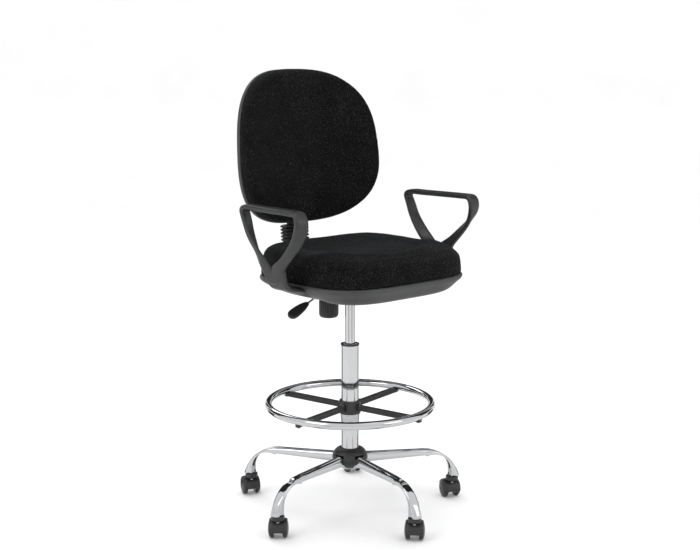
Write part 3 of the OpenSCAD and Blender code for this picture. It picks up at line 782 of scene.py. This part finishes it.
def caster(i, radius):
    """Hood with soft edges over both wheels, and the wheels with discs."""
    stem_low, stem_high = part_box(f"caster_{i}_stem")
    stem = Vector(((stem_low.x + stem_high.x) / 2, (stem_low.y + stem_high.y) / 2, 0))
    axle_low, axle_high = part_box(f"caster_{i}_axle")
    axle = (axle_low + axle_high) / 2
    trail = Vector((axle.x - stem.x, axle.y - stem.y, 0)).normalized()
    along = Vector((-trail.y, trail.x, 0))
    up = Vector((0, 0, 1))
    bore = 0.0031

    def placed(ring):
        return [axle + along * p.x + trail * p.y + up * p.z for p in ring]

    for side, sign in (("left", 1), ("right", -1)):
        profile = [(0.0120, bore), (0.0120, radius - 0.0035), (0.0130, radius - 0.0010), (0.0145, radius),
                   (0.0205, radius), (0.0228, radius - 0.0010), (0.0245, radius - 0.0036),
                   (0.0258, radius - 0.0078), (0.0268, radius - 0.0125), (0.0275, radius - 0.0180),
                   (0.0278, bore)]
        rings = [placed(ring) for ring in lathe([(sign * x, r) for x, r in profile])]
        made = mesh_piece(f"caster_{i}_wheel_{side}_turned", *ring_mesh(rings, looped=True))
        stands_for(made, f"caster_{i}_wheel_{side}")
        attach(made, f"caster_{i}_wheel_{side}")

    # angles about the axle, from the hood's front lip over the top to its rear
    front_lip, rear_lip = math.radians(190), math.radians(24)
    arcs = 44
    angles = [lerp(front_lip, rear_lip, k / arcs) for k in range(arcs + 1)]

    def hood_section(x, r_out, r_in):
        return ([Vector((x, r_out * math.cos(a), r_out * math.sin(a))) for a in angles]
                + [Vector((x, r_in * math.cos(a), r_in * math.sin(a))) for a in reversed(angles)])

    sections = []
    for sign in (-1, 1):
        # distance from the middle, outer and inner radius beyond the tread's
        side_sections = [(0.0243, -0.0012, -0.0016), (0.0241, -0.0003, -0.0013), (0.0231, 0.0011, -0.0002),
                         (0.0213, 0.0021, 0.0009), (0.0180, 0.0028, 0.0010), (0.0130, 0.0032, 0.0010),
                         (0.0112, 0.0033, 0.0010), (0.0110, 0.0033, 0.0033 - radius)]
        some = [hood_section(sign * x, radius + r_out, radius + r_in) for x, r_out, r_in in side_sections]
        sections += some if sign < 0 else some[::-1]
    drum = ring_mesh([placed(ring) for ring in sections])

    collar = turned([(0.0080, 0.0490), (0.0088, 0.0540), (0.0168, 0.0546), (0.0178, 0.0550),
                     (0.0180, 0.0562), (0.0180, 0.0592), (0.0174, 0.0598), (0.0174, 0.0606),
                     (0.0180, 0.0612), (0.0180, 0.0652), (0.0172, 0.0664), (0.0058, 0.0665)], 72, stem)
    made = mesh_piece(f"caster_{i}_hood_moulded", *joined(drum, ring_mesh(collar)))
    stands_for(made, f"caster_{i}_hood")
    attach(made, f"caster_{i}")


# ------------------------------------------------------------------ studio

CAMERA_TURN = math.radians(-42.6)   # about the column, from straight in front
CAMERA_AWAY, CAMERA_HIGH = 3.346, 1.234
CAMERA_PITCH = 0.166
CAMERA_LENS = 62.94


def camera():
    away = Vector((-math.sin(CAMERA_TURN), math.cos(CAMERA_TURN), 0))
    data = bpy.data.cameras.new("camera")
    data.lens = CAMERA_LENS
    data.sensor_width = 36
    made = bpy.data.objects.new("camera", data)
    bpy.context.scene.collection.objects.link(made)
    made.location = -away * CAMERA_AWAY + Vector((0, 0, CAMERA_HIGH))
    look = away * math.cos(CAMERA_PITCH) - Vector((0, 0, math.sin(CAMERA_PITCH)))
    made.rotation_euler = look.to_track_quat("-Z", "Y").to_euler()
    bpy.context.scene.camera = made
    return away


def backdrop():
    """A round paper floor that sweeps up into a low wall far from the chair."""
    verts, faces = ring_mesh(turned([(0.5, 0), (3.0, 0), (6.0, 0), (7.0, 0.1),
                                     (7.7, 0.4), (8.1, 1.0), (8.2, 2.0), (8.2, 3.2)], 96))
    made = mesh_piece("studio_floor", verts, faces[:-1])   # open at the top
    made.data.materials.append(studio_paper("studio_paper"))


def light(name, place, target, size, power):
    data = bpy.data.lights.new(name, "AREA")
    data.shape = "SQUARE"
    data.size = size
    data.energy = power
    made = bpy.data.objects.new(name, data)
    bpy.context.scene.collection.objects.link(made)
    made.location = place
    made.rotation_euler = (Vector(target) - Vector(place)).to_track_quat("-Z", "Y").to_euler()


def flag(name, azimuths, edges, away):
    """A dark card that only gloss and chrome see, as flags stand round a
    product on a set: azimuths are from the camera's side, in degrees, and
    edges are (distance, height) pairs."""
    verts, faces = [], []
    for low, high in azimuths:
        steps = max(2, int((high - low) / 4))
        start = len(verts)
        for k in range(steps + 1):
            turn = Matrix.Rotation(math.radians(lerp(low, high, k / steps)), 3, "Z")
            verts += [turn @ (-away * r) + Vector((0, 0, z)) for r, z in edges]
        n = len(edges)
        for k in range(steps):
            here, there = start + k * n, start + (k + 1) * n
            faces += [(here + j, here + j + 1, there + j + 1, there + j) for j in range(n - 1)]
    made = mesh_piece(name, verts, faces)
    made.data.materials.append(LOOKS["flag_cloth"])
    made.visible_camera = made.visible_diffuse = made.visible_shadow = made.visible_transmission = False


def studio(away):
    across = Vector((away.y, -away.x, 0))
    high = Vector((0, 0, 1))
    light("key", -away * 2.2 - across * 2.6 + high * 3.0, (0, 0, 0.7), 1.8, 30)
    light("fill", -away * 1.8 + across * 3.0 + high * 1.6, (0, 0, 0.7), 1.6, 12)
    light("top", high * 4.2 + away * 0.6, (0, 0, 0.5), 3.0, 30)
    light("rim", away * 2.6 - across * 1.8 + high * 2.6, (0, 0, 0.9), 1.4, 16)
    # the high cards arch behind the chair, and the others lie just over the floor
    floor, edge = 0.003, 3.6
    flag("flags_high", [(104, 140), (146, 159), (164, 198), (202, 215), (221, 256)],
         [(5.2, 0.9), (5.2, 3.9), (3.4, 4.0), (1.8, 3.9), (0.4, 3.9)], away)
    flag("flags_low", [(-132, -112), (118, 136)], [(0.42, floor), (edge, floor)], away)
    flag("flags_mid", [(-34, -24), (40, 52)], [(2.15, floor), (edge, floor)], away)
    world = bpy.data.worlds.new("studio")
    world.use_nodes = True
    background = world.node_tree.nodes["Background"]
    background.inputs["Color"].default_value = (1, 1, 1.01, 1)
    background.inputs["Strength"].default_value = 1.12
    bpy.context.scene.world = world
    bpy.context.scene.view_settings.view_transform = "Standard"


away = camera()
backdrop()
studio(away)
seat_cushion()
seat_shell()
back_cushion()
back_shell()
bellows()
for side in (-1, 1):
    arm(side)
lever_paddle()
tension_knob()
base_star()
wheel_low, wheel_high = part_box("caster_1_wheel_left")
for i in range(1, 6):
    caster(i, (wheel_high.z - wheel_low.z) / 2)
